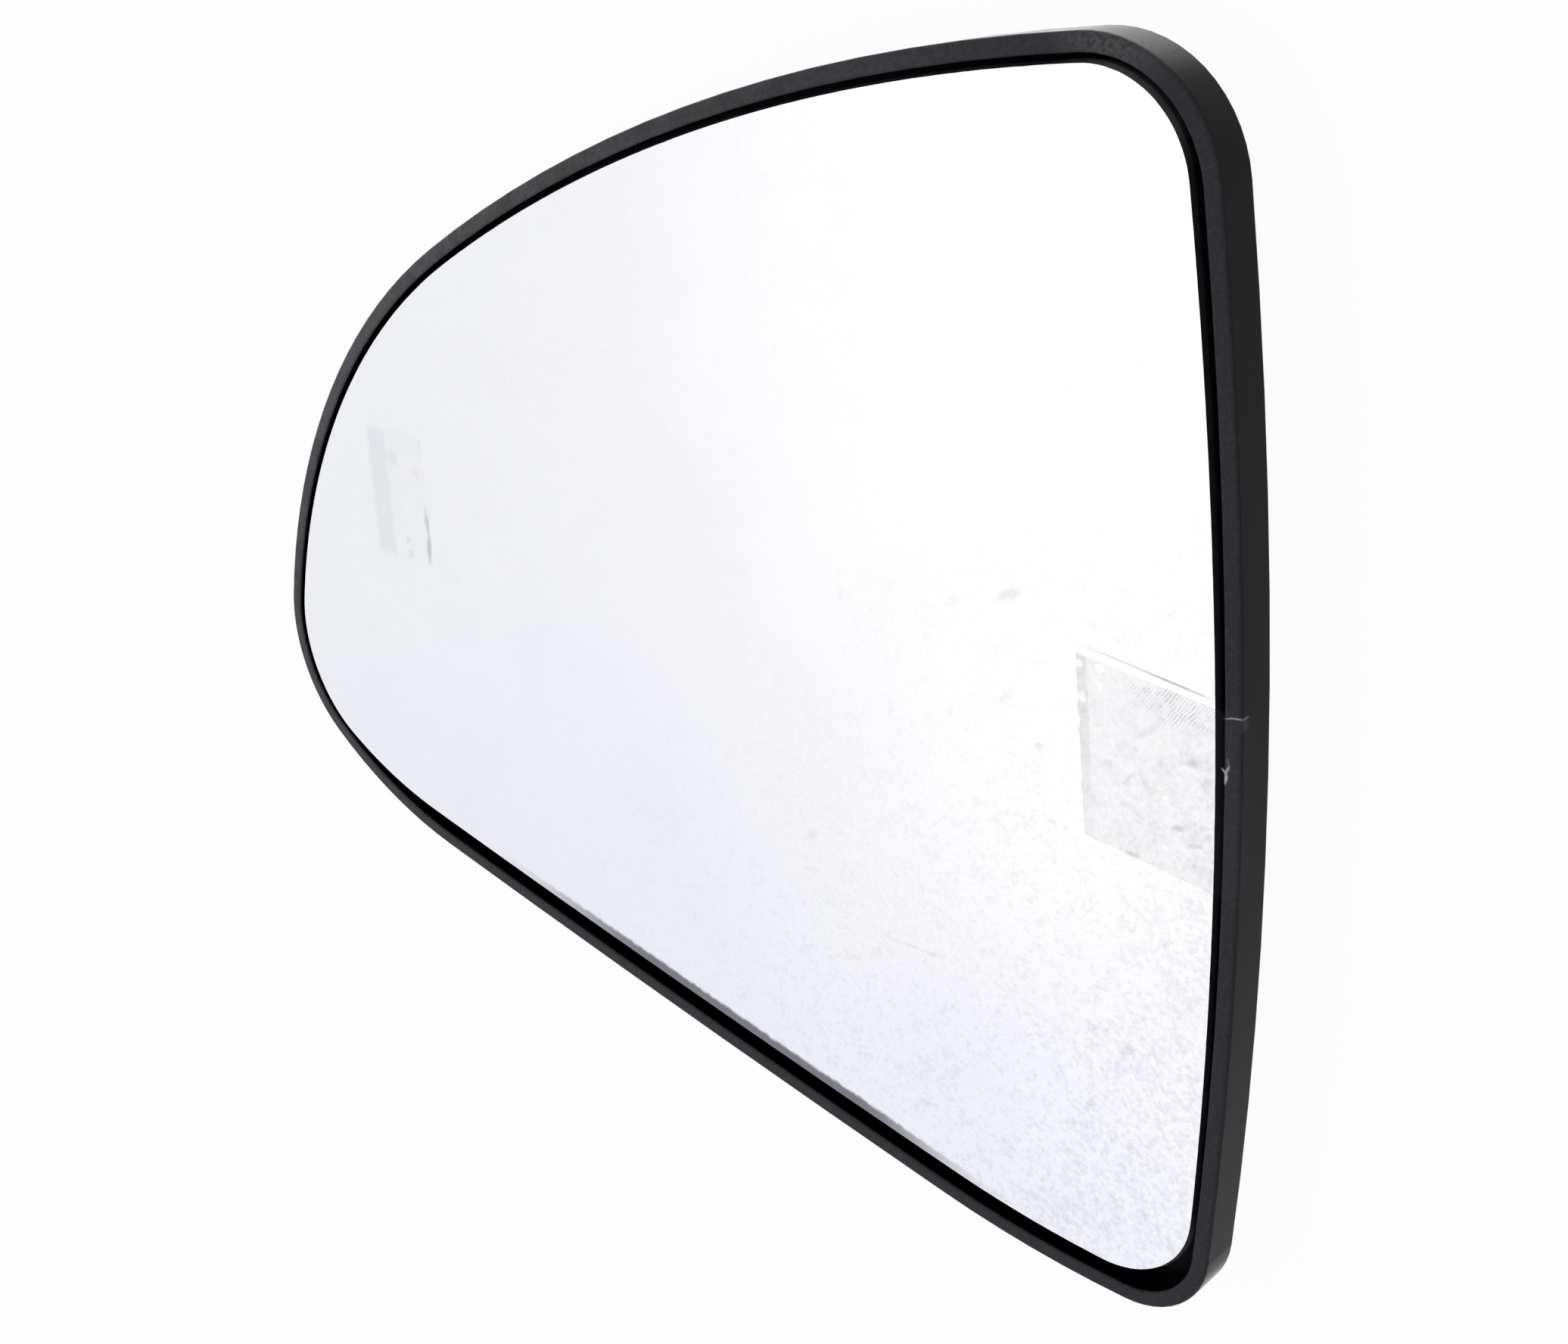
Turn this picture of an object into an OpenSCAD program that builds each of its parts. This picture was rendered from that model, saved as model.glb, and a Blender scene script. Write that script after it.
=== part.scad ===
// Car door mirror glass on its moulded backing plate.
// The part lies on its back: Z is the way the glass faces, Y is up when it hangs in the door mirror.
// The origin is on the axis of the clip ring, in the plane of the ring's rear face.

/* [Glass outline] */
// Reach of the glass from the clip ring's axis to the tip of its nose
glass_left = 97.4; // [90:0.1:108]
// Reach of the glass to the far side of its upper corner
glass_right = 77.7; // [74:0.1:86]
// Height of the glass above the axis, at the top of the crown
glass_top = 59.1; // [54:0.1:66]
// Depth of the glass below the axis, at the lower corner
glass_bottom = 75.9; // [70:0.1:84]
// Radius of the nose
nose_r = 18.4; // [14:0.1:24]
// How far the middle of the nose lies below the axis
nose_drop = 0.8; // [0:0.1:6]
// Radius of the shoulder between the nose and the crown
shoulder_r = 92.8; // [75:0.1:120]
// Radius of the crown, the long upper edge
crown_r = 251; // [215:1:320]
// How far the crown has fallen where the upper corner takes over
crown_fall = 3.9; // [2:0.1:7]
// Radius of the upper corner
upper_r = 11.8; // [8:0.1:16]
// Radius of the side, the edge between the two corners
side_r = 546; // [400:1:800]
// Radius of the lower corner
lower_r = 11.6; // [8:0.1:16]
// Reach of the lower corner's centre from the axis
lower_reach = 43; // [36:0.1:47]
// Radius of the heel between the lower corner and the sill
heel_r = 136; // [90:1:180]
// How far the sill runs outside the lower corner's circle
heel_fall = 1.5; // [0.8:0.1:3]
// Radius of the sill, the nearly straight lower edge
sill_r = 2800; // [1500:10:3600]
// How far the sill runs outside the nose's circle
chin_fall = 2.4; // [1.2:0.1:4]
// Radius of the chin between the sill and the nose
chin_r = 63.3; // [45:0.1:90]

/* [Glass and pad] */
// Thickness of the glass
glass_t = 2; // [1.6:0.1:3]
// Width of the ground bevel outside the clear face
bevel_w = 0.3; // [0.2:0.05:0.5]
// Depth of the ground bevel
bevel_h = 0.6; // [0.3:0.05:1]
// Width of the arris on the rear edge of the glass
arris_w = 0.25; // [0.1:0.05:0.5]
// Thickness of the adhesive foam pad
pad_t = 0.6; // [0.4:0.1:1.2]
// How far the pad's edge lies inside the clear face
pad_inset = 1; // [0.5:0.1:3]

/* [Rim outline] */
// How far the rim's opening stands outside the clear face at the nose
room_left = 1.4; // [1.1:0.05:2]
// How far it stands outside on the side
room_right = 1.2; // [1:0.05:2]
// How far it stands outside at the top of the crown
room_top = 0.9; // [0.8:0.05:2]
// How far it stands outside at the lower corner, where water drains
room_bottom = 2.7; // [2.2:0.05:3.2]
// How much wider the opening's upper corner is rounded than the glass
upper_wider = 1.3; // [0.5:0.1:2]
// How much tighter its lower corner is rounded than the glass
lower_tighter = 2.5; // [1.5:0.1:2.7]
// How much farther out its lower corner's centre lies
lower_shift = 1.5; // [1.4:0.1:2]
// How much farther out its sill runs at the heel
heel_more = 0.8; // [0.4:0.1:1.2]
// How much farther out its sill runs at the chin
chin_more = 2; // [1.2:0.1:2.4]

/* [Rim] */
// Width of the rim's front face
rim_w = 2; // [1.3:0.1:3]
// Depth of the rim's outer wall
rim_depth = 5.4; // [5.2:0.1:8]
// Radius on the rim's front edges
lip_round = 0.4; // [0.2:0.05:0.6]
// Radius on the rim's rear outer edge
rear_round = 0.3; // [0.1:0.05:0.6]

/* [Backing plate] */
// Thickness of the plate's web
web_t = 1.5; // [1.2:0.1:2]
// Thickness of the stiffening ribs
rib_t = 1.2; // [0.8:0.1:1.6]
// Number of straight ribs that run out to the rim
rib_count = 16; // [8:4:24]
// Radius of the first round rib
hoop_first_r = 42; // [38:1:46]
// Spacing of the round ribs
hoop_step = 16; // [12:1:24]

/* [Clip ring] */
// Radius of the ring's bore, which clips over the actuator's disc
clip_r = 25; // [20:0.5:28]
// Thickness of the ring's wall
clip_t = 1.8; // [1.4:0.1:2.6]
// How far the ring stands behind the rim
clip_stand = 6.2; // [4:0.1:10]
// Number of spring fingers in the ring
finger_count = 4; // [3:1:6]
// Width of each spring finger
finger_w = 12.5; // [8:0.5:14]
// Width of the slots beside the fingers
slot_w = 2; // [1.5:0.1:3]
// How far a finger's bead stands into the bore
bead_in = 0.9; // [0.5:0.1:1.4]
// Height of the bead's crest
bead_h = 0.8; // [0.4:0.1:1.2]
// Height of the lead-in chamfer at the ring's mouth
lead_in = 0.7; // [0.4:0.1:1]
// Length of the mould window behind each bead
window_l = 3.4; // [2.5:0.1:5]
// Number of notches in the ring that take the actuator's lugs
notch_count = 2; // [1:1:3]
// Width of a notch
notch_w = 4; // [3:0.5:6]
// Depth of a notch, from the ring's rear face
notch_d = 4; // [2:0.5:5]
// Reach of the gussets outside the ring
gusset_reach = 12; // [8:0.5:16]
// Depth of a gusset's tip inside the ring's rear face
gusset_drop = 1.5; // [1:0.1:2.5]

/* [Clear tape] */
// Thickness of the tape
tape_t = 0.08; // [0.05:0.01:0.2]
// Width of the tape
tape_w = 19.9; // [12:0.1:25]
// Reach of the side tape over the glass, from the rim's inner edge
side_tape_reach = 16.3; // [10:0.1:20]
// How far the side tape turns down the rim's outer wall
side_tape_turn = 2.4; // [1.5:0.1:4]
// Length of the nose tape
nose_tape_l = 13; // [8:0.1:18]

/* [Hidden] */
$fn = 96;
// Facets of a long arc for each millimetre of its radius
facets_per_mm = 2;
// Overrun of every cut, and of joined pieces into each other
over = 0.2;
// Straight steps in each rounded edge of the rim
round_steps = 3;
// Slope of the side tape, and where its middle line crosses the upright axis of the part
side_tape_lean = -20.6;
side_tape_y = 7.5;
// Slope of the nose tape and its middle
nose_tape_lean = -15.5;
nose_tape_at = [-61.3, 22.4];
tape_colour = [0.9, 0.9, 0.88, 0.5];

// Levels, from the rear face of the clip ring up
rim_rear = clip_stand;
front_z = rim_rear + rim_depth;
glass_z = front_z - glass_t;
pad_z = glass_z - pad_t;
web_z = pad_z - web_t;
// The band that is swept along an outline reaches this far inside and outside it
band_in = -lower_r / 2;
band_out = 2 * rim_w;

// A long arc takes more facets, so that each stays a few millimetres long
function facets(r) = max($fn, ceil(facets_per_mm * r));

// The unit vector in a direction, and the direction of a vector
function unit(angle) = [cos(angle), sin(angle)];
function direction(v) = atan2(v.y, v.x);

// Where circles of radius ra about a and rb about b cross, on the right (-1) or left (1) of a to b
function meet(a, ra, b, rb, side) =
    let (l = norm(b - a), along = (ra ^ 2 - rb ^ 2 + l ^ 2) / (2 * l), e = (b - a) / l)
    a + along * e + side * sqrt(ra ^ 2 - along ^ 2) * [-e.y, e.x];

// An outline is a closed chain of arcs that touch, so each centre follows from its neighbours.
// Lists the centre and radius of each arc, clockwise from the nose. The arguments are what it has more than
// the clear face: reach on four sides, radius of both corners, shift of the lower one, and reach of the sill.
function chain(
    left = 0, right = 0, top = 0, bottom = 0, upper = 0, lower = 0, shift = 0, heel = 0, chin = 0
) =
    let (
        u_r = upper_r + upper,
        l_r = lower_r + lower,
        nose_c = [nose_r - glass_left - left, -nose_drop],
        upper_c = [glass_right + right - u_r, glass_top + top - u_r - crown_fall],
        lower_c = [lower_reach + shift, l_r - glass_bottom - bottom],
        crown_run = sqrt((crown_r - u_r) ^ 2 - (crown_r - u_r - crown_fall) ^ 2),
        crown_c = [upper_c.x - crown_run, glass_top + top - crown_r],
        shoulder_c = meet(nose_c, shoulder_r - nose_r, crown_c, crown_r - shoulder_r, 1),
        side_c = meet(upper_c, side_r - u_r, lower_c, side_r - l_r, -1),
        sill_c = meet(
            lower_c, sill_r - l_r - heel_fall - heel, nose_c, sill_r - nose_r - chin_fall - chin, -1
        ),
        heel_c = meet(lower_c, heel_r - l_r, sill_c, sill_r - heel_r, 1),
        chin_c = meet(sill_c, sill_r - chin_r, nose_c, chin_r - nose_r, 1)
    )
    [
        [nose_c, nose_r], [shoulder_c, shoulder_r], [crown_c, crown_r],
        [upper_c, u_r], [side_c, side_r], [lower_c, l_r],
        [heel_c, heel_r], [sill_c, sill_r], [chin_c, chin_r]
    ];

// The edge of the clear face, and that of the rim's opening
GLASS = chain();
OPENING = chain(
    room_left, room_right, room_top, room_bottom,
    upper_wider, -lower_tighter, lower_shift, heel_more, chin_more
);
// The side is the arc after the upper corner
SIDE = 4;
LAST = len(GLASS) - 1;
function before(i) = i == 0 ? LAST : i - 1;
function after(i) = i == LAST ? 0 : i + 1;

// The outward direction where arc i hands over to the next, which is the line through both centres
function joint(arcs, i) = let (a = arcs[i], b = arcs[after(i)])
    b[1] > a[1] ? direction(a[0] - b[0]) : direction(b[0] - a[0]);
function sweep(arcs, i) = let (turn = joint(arcs, before(i)) - joint(arcs, i))
    turn - 360 * floor(turn / 360);
// The end of arc i, moved outwards
function knot(arcs, i, offset) = arcs[i][0] + (arcs[i][1] + offset) * unit(joint(arcs, i));
// The patch of the plane in which arc i and what is swept along it lie
function patch(arcs, i) = let (half = sweep(arcs, i) / 2) [
    knot(arcs, i, band_in), knot(arcs, i, band_out),
    arcs[i][0] + (arcs[i][1] + band_out) / cos(half) * unit(joint(arcs, i) + half),
    knot(arcs, before(i), band_out), knot(arcs, before(i), band_in)
];

// Points of an arc in a section
function bend(centre, r, from, to) =
    [for (k = [0 : round_steps]) centre + r * unit(from + (to - from) * k / round_steps)];

// Moves in whole millimetres first and then by the rest, so that a far centre keeps its decimals
module place(v) {
    whole = [floor(v.x), floor(v.y)];
    translate(whole) translate(v - whole) children();
}

// Sweeps a section along an outline: its X is the offset outwards, its Y the height
module along_edge(arcs) {
    for (i = [0 : LAST]) intersection() {
        place(arcs[i][0]) rotate_extrude($fn = facets(arcs[i][1])) place([arcs[i][1], 0]) children();
        translate([0, 0, -over]) linear_extrude(front_z + 2 * over) polygon(patch(arcs, i));
    }
}

// The area inside an outline, moved outwards
module area(arcs, offset) {
    polygon([for (i = [LAST : -1 : 0]) knot(arcs, i, band_in)]);
    for (i = [0 : LAST]) intersection() {
        place(arcs[i][0]) circle(arcs[i][1] + offset, $fn = facets(arcs[i][1]));
        polygon(patch(arcs, i));
    }
}

// A flat layer of the stack behind the clear face
module layer(z, t, offset) {
    translate([0, 0, z]) linear_extrude(t) area(GLASS, offset);
}

// The places of n like things round the clip ring's axis
module around(n, first = 0) {
    for (k = [0 : n - 1]) rotate(first + 360 * k / n) children();
}

// A wall that runs outwards from the axis
module spoke(from, to, width) {
    translate([from, -width / 2]) square([to - from, width]);
}

module rim_section() {
    polygon(concat(
        [[0, rim_rear]],
        bend([rim_w - rear_round, rim_rear + rear_round], rear_round, -90, 0),
        bend([rim_w - lip_round, front_z - lip_round], lip_round, 0, 90),
        bend([lip_round, front_z - lip_round], lip_round, 90, 180)
    ));
}

// Radius outside the ring's wall, and the reach of the farthest rib
clip_out = clip_r + clip_t;
far = norm([glass_left + room_left, glass_bottom + room_bottom]) + rim_w;
// Direction of the first finger, and half the angle of each fixed stretch between two fingers
finger_at = 180 / finger_count;
fixed_half = finger_at - asin((finger_w / 2 + slot_w) / clip_r);

module rib_plan() {
    intersection() {
        area(OPENING, rim_w / 2);
        union() {
            around(rib_count) spoke(clip_out - over, far, rib_t);
            for (r = [hoop_first_r : hoop_step : far]) difference() {
                circle(r + rib_t);
                circle(r);
            }
        }
    }
}

// One mould window lies behind the bead of each finger
module window_plan() {
    around(finger_count, finger_at) spoke(clip_r - window_l, clip_r, finger_w);
}

module ribs() {
    translate([0, 0, rim_rear]) linear_extrude(web_z - rim_rear + over) difference() {
        rib_plan();
        circle(clip_out - over);
    }
}

// The ring's wall, with the lead-in at its mouth
module clip_wall() {
    rotate_extrude() polygon([
        [clip_r, web_z + over], [clip_out, web_z + over], [clip_out, 0],
        [clip_r + lead_in, 0], [clip_r, lead_in]
    ]);
}

// A gusset carries each rib that meets a fixed stretch of the ring down its wall
module gussets() {
    section = [
        [clip_out - over, gusset_drop], [clip_out, gusset_drop], [clip_out + gusset_reach, rim_rear],
        [clip_out + gusset_reach, web_z + over], [clip_out - over, web_z + over]
    ];
    for (k = [0 : rib_count - 1]) {
        angle = 360 * k / rib_count;
        from_fixed = abs(angle - 2 * finger_at * round(angle / (2 * finger_at)));
        if (from_fixed < fixed_half - asin(rib_t / clip_r))
            rotate(angle) rotate([90, 0, 0]) translate([0, 0, -rib_t / 2])
                linear_extrude(rib_t) polygon(section);
    }
}

// The room round each finger: a slot on both sides and one behind it, down to the web
module reliefs() {
    around(finger_count, finger_at) translate([0, -finger_w / 2 - slot_w, -over]) difference() {
        translate([clip_r - over, 0, 0])
            cube([clip_t + slot_w + over, finger_w + 2 * slot_w, web_z + over]);
        translate([clip_r - 2 * over, slot_w, -over])
            cube([clip_t + 2 * over, finger_w, web_z + 3 * over]);
    }
}

// The bead round the whole bore, of which only the fingers keep a stretch
module bead() {
    rotate_extrude() polygon([
        [clip_r + over, lead_in], [clip_r, lead_in], [clip_r - bead_in, lead_in + bead_in],
        [clip_r - bead_in, lead_in + bead_in + bead_h], [clip_r, lead_in + 2 * bead_in + bead_h],
        [clip_r + over, lead_in + 2 * bead_in + bead_h]
    ]);
}

module beads() {
    intersection() {
        bead();
        around(finger_count, finger_at)
            translate([0, -finger_w / 2, 0]) cube([clip_out, finger_w, web_z]);
    }
}

// Each notch lies beside the middle of a fixed stretch, clear of the gusset there
module notches() {
    for (k = [0 : notch_count - 1])
        rotate(360 * floor(k * finger_count / notch_count) / finger_count + fixed_half / 2)
            translate([clip_r - over, -notch_w / 2, -over])
                cube([clip_t + 2 * over, notch_w, notch_d + over]);
}

// The one moulding that carries the glass: web, ribs, rim and clip ring
module backing_plate() {
    color([0.13, 0.13, 0.15]) {
        along_edge(OPENING) rim_section();
        translate([0, 0, web_z]) linear_extrude(web_t) difference() {
            area(OPENING, rim_w / 2);
            window_plan();
        }
        difference() {
            union() {
                ribs();
                clip_wall();
                gussets();
            }
            reliefs();
            notches();
        }
        beads();
    }
}

module adhesive_pad() {
    color([0.82, 0.82, 0.8]) layer(pad_z, pad_t, -pad_inset);
}

// The silvered glass, with a ground bevel round its clear face
module mirror_glass() {
    color([0.87, 0.88, 0.92]) {
        along_edge(GLASS) polygon([
            [band_in / 2, glass_z], [bevel_w - arris_w, glass_z], [bevel_w, glass_z + arris_w],
            [bevel_w, front_z - bevel_h], [0, front_z], [band_in / 2, front_z]
        ]);
        layer(glass_z, glass_t, band_in / 4);
    }
}

// A strip of clear tape from the glass over the rim and down its outer wall
module side_tape() {
    top = front_z + tape_t;
    foot = front_z - side_tape_turn;
    color(tape_colour) intersection() {
        place(OPENING[SIDE][0]) rotate_extrude($fn = facets(side_r)) place([side_r, 0]) polygon(concat(
            [[-side_tape_reach, front_z], [-side_tape_reach, top]],
            bend([rim_w - lip_round, front_z - lip_round], lip_round + tape_t, 90, 0),
            [[rim_w + tape_t, foot], [rim_w, foot]],
            bend([rim_w - lip_round, front_z - lip_round], lip_round, 0, 90)
        ));
        translate([0, side_tape_y, 0]) rotate(side_tape_lean) translate([0, -tape_w / 2, 0])
            cube([far, tape_w, top + over]);
    }
}

// A shorter strip of the same tape, on the glass near the nose
module nose_tape() {
    color(tape_colour)
        translate([nose_tape_at.x, nose_tape_at.y, front_z]) rotate(nose_tape_lean)
            translate([-nose_tape_l / 2, -tape_w / 2, 0]) cube([nose_tape_l, tape_w, tape_t]);
}

backing_plate();
adhesive_pad();
mirror_glass();
side_tape();
nose_tape();
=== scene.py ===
"""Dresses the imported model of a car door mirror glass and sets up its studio.

The part lies on its back on a pale floor: Z is the way the glass faces, Y is up when it hangs in the door
mirror, and the origin is on the axis of the clip ring. Lengths in this file are in millimetres until a mesh
or a shader node is made.
"""

import logging
import math
from dataclasses import dataclass, field, replace
from enum import Enum
from functools import reduce
from typing import Callable, Sequence

import bmesh
import bpy
from mathutils import Matrix, Vector, noise


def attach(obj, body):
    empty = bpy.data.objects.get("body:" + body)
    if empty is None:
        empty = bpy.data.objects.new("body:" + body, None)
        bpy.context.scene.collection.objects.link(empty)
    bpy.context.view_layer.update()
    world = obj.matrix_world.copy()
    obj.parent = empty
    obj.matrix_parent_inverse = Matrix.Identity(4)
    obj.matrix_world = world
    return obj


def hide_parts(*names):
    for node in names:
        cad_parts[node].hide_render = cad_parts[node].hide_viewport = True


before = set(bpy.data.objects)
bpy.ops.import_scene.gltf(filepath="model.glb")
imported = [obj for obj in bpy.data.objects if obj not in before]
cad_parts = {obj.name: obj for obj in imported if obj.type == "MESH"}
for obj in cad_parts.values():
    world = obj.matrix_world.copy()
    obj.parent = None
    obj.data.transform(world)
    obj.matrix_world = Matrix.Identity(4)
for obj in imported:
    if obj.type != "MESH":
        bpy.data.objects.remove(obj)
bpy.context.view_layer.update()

LOG = logging.getLogger("mirror_glass")
MM = 0.001
BODY = "root"

Point = tuple[float, float]
Place = tuple[float, float, float]
Colour = tuple[float, float, float, float]
WHITE: Colour = (1.0, 1.0, 1.0, 1.0)


class Stretch(Enum):
    """The nine arcs of the outline, clockwise."""

    NOSE = 0
    SHOULDER = 1
    CROWN = 2
    UPPER_CORNER = 3
    SIDE = 4
    LOWER_CORNER = 5
    HEEL = 6
    SILL = 7
    CHIN = 8


class GlassFace(Enum):
    """The glass's material slots, by number."""

    SILVERED = 0
    GROUND = 1


# The outline that the glass, its bevel, the silver and the rim all follow


@dataclass(frozen=True)
class Arc:
    """One arc of the outline, run clockwise.

    Args:
        centre: the arc's centre.
        radius: the radius of the clear face's edge there.
        start: the direction in which the arc starts, in degrees.
        sweep: how far it turns, clockwise, in degrees.
    """

    centre: Point
    radius: float
    start: float
    sweep: float

    def at(self, share: float, offset: float) -> Point:
        """The point at a share of the arc's length, moved outwards by offset."""
        angle = math.radians(self.start - share * self.sweep)
        reach = self.radius + offset
        return self.centre[0] + reach * math.cos(angle), self.centre[1] + reach * math.sin(angle)


@dataclass(frozen=True)
class Outline:
    """The closed chain of nine arcs that touch, as in the part's source.

    Args:
        left: how far the clear face reaches to the left of the clip ring's axis, and so on round it.
        nose_r: the nose's radius, with one such radius for each arc.
        nose_drop: how far the nose's centre lies below the axis.
        crown_fall: how far the crown falls from its highest place to the upper corner.
        lower_reach: how far to the right the lower corner's centre lies.
        heel_fall: how far the lower corner stands off the line of the sill.
        chin_fall: the same for the nose.
    """

    left: float = 97.4
    right: float = 77.7
    top: float = 59.1
    bottom: float = 75.9
    nose_r: float = 18.4
    nose_drop: float = 0.8
    shoulder_r: float = 92.8
    crown_r: float = 251.0
    crown_fall: float = 3.9
    upper_r: float = 11.8
    side_r: float = 546.0
    lower_r: float = 11.6
    lower_reach: float = 43.0
    heel_r: float = 136.0
    heel_fall: float = 1.5
    sill_r: float = 2800.0
    chin_fall: float = 2.4
    chin_r: float = 63.3

    @staticmethod
    def meet(a: Point, ra: float, b: Point, rb: float, side: int) -> Point:
        """Where circles of radius ra about a and rb about b cross.

        Args:
            a: the first centre.
            ra: its radius.
            b: the second centre.
            rb: its radius.
            side: 1 for the crossing to the left of the way from a to b, and -1 for the other.

        Returns:
            The crossing.
        """
        gap = math.dist(a, b)
        along = (ra**2 - rb**2 + gap**2) / (2 * gap)
        across = side * math.sqrt(ra**2 - along**2)
        ex, ey = (b[0] - a[0]) / gap, (b[1] - a[1]) / gap
        return a[0] + along * ex - across * ey, a[1] + along * ey + across * ex

    def centres(self) -> list[tuple[Point, float]]:
        """The centre and radius of each arc, clockwise from the nose."""
        nose = (self.nose_r - self.left, -self.nose_drop)
        upper = (self.right - self.upper_r, self.top - self.upper_r - self.crown_fall)
        lower = (self.lower_reach, self.lower_r - self.bottom)
        reach = self.crown_r - self.upper_r
        crown = (upper[0] - math.sqrt(reach**2 - (reach - self.crown_fall) ** 2), self.top - self.crown_r)
        shoulder = self.meet(nose, self.shoulder_r - self.nose_r, crown, self.crown_r - self.shoulder_r, 1)
        side = self.meet(upper, self.side_r - self.upper_r, lower, self.side_r - self.lower_r, -1)
        from_lower = self.sill_r - self.lower_r - self.heel_fall
        from_nose = self.sill_r - self.nose_r - self.chin_fall
        sill = self.meet(lower, from_lower, nose, from_nose, -1)
        heel = self.meet(lower, self.heel_r - self.lower_r, sill, self.sill_r - self.heel_r, 1)
        chin = self.meet(sill, self.sill_r - self.chin_r, nose, self.chin_r - self.nose_r, 1)
        return [
            (nose, self.nose_r),
            (shoulder, self.shoulder_r),
            (crown, self.crown_r),
            (upper, self.upper_r),
            (side, self.side_r),
            (lower, self.lower_r),
            (heel, self.heel_r),
            (sill, self.sill_r),
            (chin, self.chin_r),
        ]

    def arcs(self) -> list[Arc]:
        """The nine arcs, clockwise from the nose."""
        rounds = self.centres()
        joints = []
        for (a, ra), (b, rb) in zip(rounds, rounds[1:] + rounds[:1]):
            dx, dy = (a[0] - b[0], a[1] - b[1]) if rb > ra else (b[0] - a[0], b[1] - a[1])
            joints.append(math.degrees(math.atan2(dy, dx)))
        return [
            Arc(centre, radius, joints[i - 1], (joints[i - 1] - joints[i]) % 360)
            for i, (centre, radius) in enumerate(rounds)
        ]

    def arc(self, stretch: Stretch) -> Arc:
        """One of the nine arcs."""
        return self.arcs()[stretch.value]

    def ring(self, offset: float, step: float = 0.8, least: int = 6) -> list[Point]:
        """Points round the whole outline.

        Args:
            offset: how far outside the clear face's edge they lie.
            step: about how far apart they are, the same count at every offset.
            least: how many each arc has at least.

        Returns:
            The points, clockwise from the nose.
        """
        points: list[Point] = []
        for arc in self.arcs():
            count = max(least, math.ceil(math.radians(arc.sweep) * arc.radius / step))
            points += [arc.at(k / count, offset) for k in range(count)]
        return points


@dataclass(frozen=True)
class Room:
    """What the rim's opening has more than the clear face, as in the part's source.

    Args:
        left: how much further the opening reaches to the left, with the same for the other three sides.
        upper_wider: how much larger the upper corner's radius is.
        lower_tighter: how much smaller the lower corner's radius is.
        lower_shift: how much further to the right the lower corner's centre lies.
        heel_more: how much further the lower corner stands off the line of the sill.
        chin_more: the same for the nose.
    """

    left: float = 1.4
    right: float = 1.2
    top: float = 0.9
    bottom: float = 2.7
    upper_wider: float = 1.3
    lower_tighter: float = 2.5
    lower_shift: float = 1.5
    heel_more: float = 0.8
    chin_more: float = 2.0

    def opening(self, glass: Outline) -> Outline:
        """The outline of the rim's inner edge round a glass."""
        return replace(
            glass,
            left=glass.left + self.left,
            right=glass.right + self.right,
            top=glass.top + self.top,
            bottom=glass.bottom + self.bottom,
            upper_r=glass.upper_r + self.upper_wider,
            lower_r=glass.lower_r - self.lower_tighter,
            lower_reach=glass.lower_reach + self.lower_shift,
            heel_fall=glass.heel_fall + self.heel_more,
            chin_fall=glass.chin_fall + self.chin_more,
        )


@dataclass(frozen=True)
class Levels:
    """Heights and widths of the stack, as in the part's source.

    Args:
        front: the height of the rim's front face and of the clear face.
        glass_t: how thick the glass is.
        pad_t: how thick the foam pad is.
        bevel_w: how wide the ground bevel is.
        bevel_h: how far it goes down.
        arris_w: the width of the small bevel at the rear.
        rim_w: how wide the rim's front face is.
        lip_round: the radius of the rim's edges.
    """

    front: float = 11.6
    glass_t: float = 2.0
    pad_t: float = 0.6
    bevel_w: float = 0.3
    bevel_h: float = 0.6
    arris_w: float = 0.25
    rim_w: float = 2.0
    lip_round: float = 0.4

    @property
    def glass(self) -> float:
        """The height of the rear face of the glass."""
        return self.front - self.glass_t

    @property
    def web(self) -> float:
        """The height of the web's front face, which is the floor of the groove round the glass."""
        return self.glass - self.pad_t


# Meshes


class MeshMaker:
    """Collects vertices and faces in millimetres, and makes an object of them."""

    def __init__(self, name: str) -> None:
        """Starts an empty mesh for a piece of that name."""
        self.name = name
        self.verts: list[Place] = []
        self.faces: list[tuple[Sequence[int], int]] = []

    def loop(self, points: Sequence[Point], z: float) -> list[int]:
        """Adds a closed loop of points at one height and returns their numbers."""
        first = len(self.verts)
        self.verts += [(x, y, z) for x, y in points]
        return list(range(first, len(self.verts)))

    def bridge(self, lower: Sequence[int], upper: Sequence[int], material: int = 0) -> None:
        """Joins two loops of the same length by a band of quads that faces outwards."""
        n = len(lower)
        for k in range(n):
            m = (k + 1) % n
            self.faces.append(((lower[m], lower[k], upper[k], upper[m]), material))

    def cap(self, loop: Sequence[int], up: bool, material: int = 0) -> None:
        """Closes a loop with one flat face that looks up or down."""
        self.faces.append((list(reversed(loop)) if up else list(loop), material))

    def build(self, materials: Sequence[bpy.types.Material], sharp: float | None = 40.0) -> bpy.types.Object:
        """Makes the object.

        Args:
            materials: the piece's material slots.
            sharp: edges that bend more than this many degrees stay sharp. None leaves every face flat.

        Returns:
            The object, linked to the scene.
        """
        mesh = bpy.data.meshes.new(self.name)
        mesh.from_pydata([(x * MM, y * MM, z * MM) for x, y, z in self.verts], [], [f for f, _ in self.faces])
        for material in materials:
            mesh.materials.append(material)
        for polygon, (_, index) in zip(mesh.polygons, self.faces):
            polygon.material_index = index
        if sharp is not None:
            mesh.shade_smooth()
            mesh.set_sharp_from_angle(angle=math.radians(sharp))
        mesh.update()
        piece = bpy.data.objects.new(self.name, mesh)
        bpy.context.scene.collection.objects.link(piece)
        return piece


# Shader nodes


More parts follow.
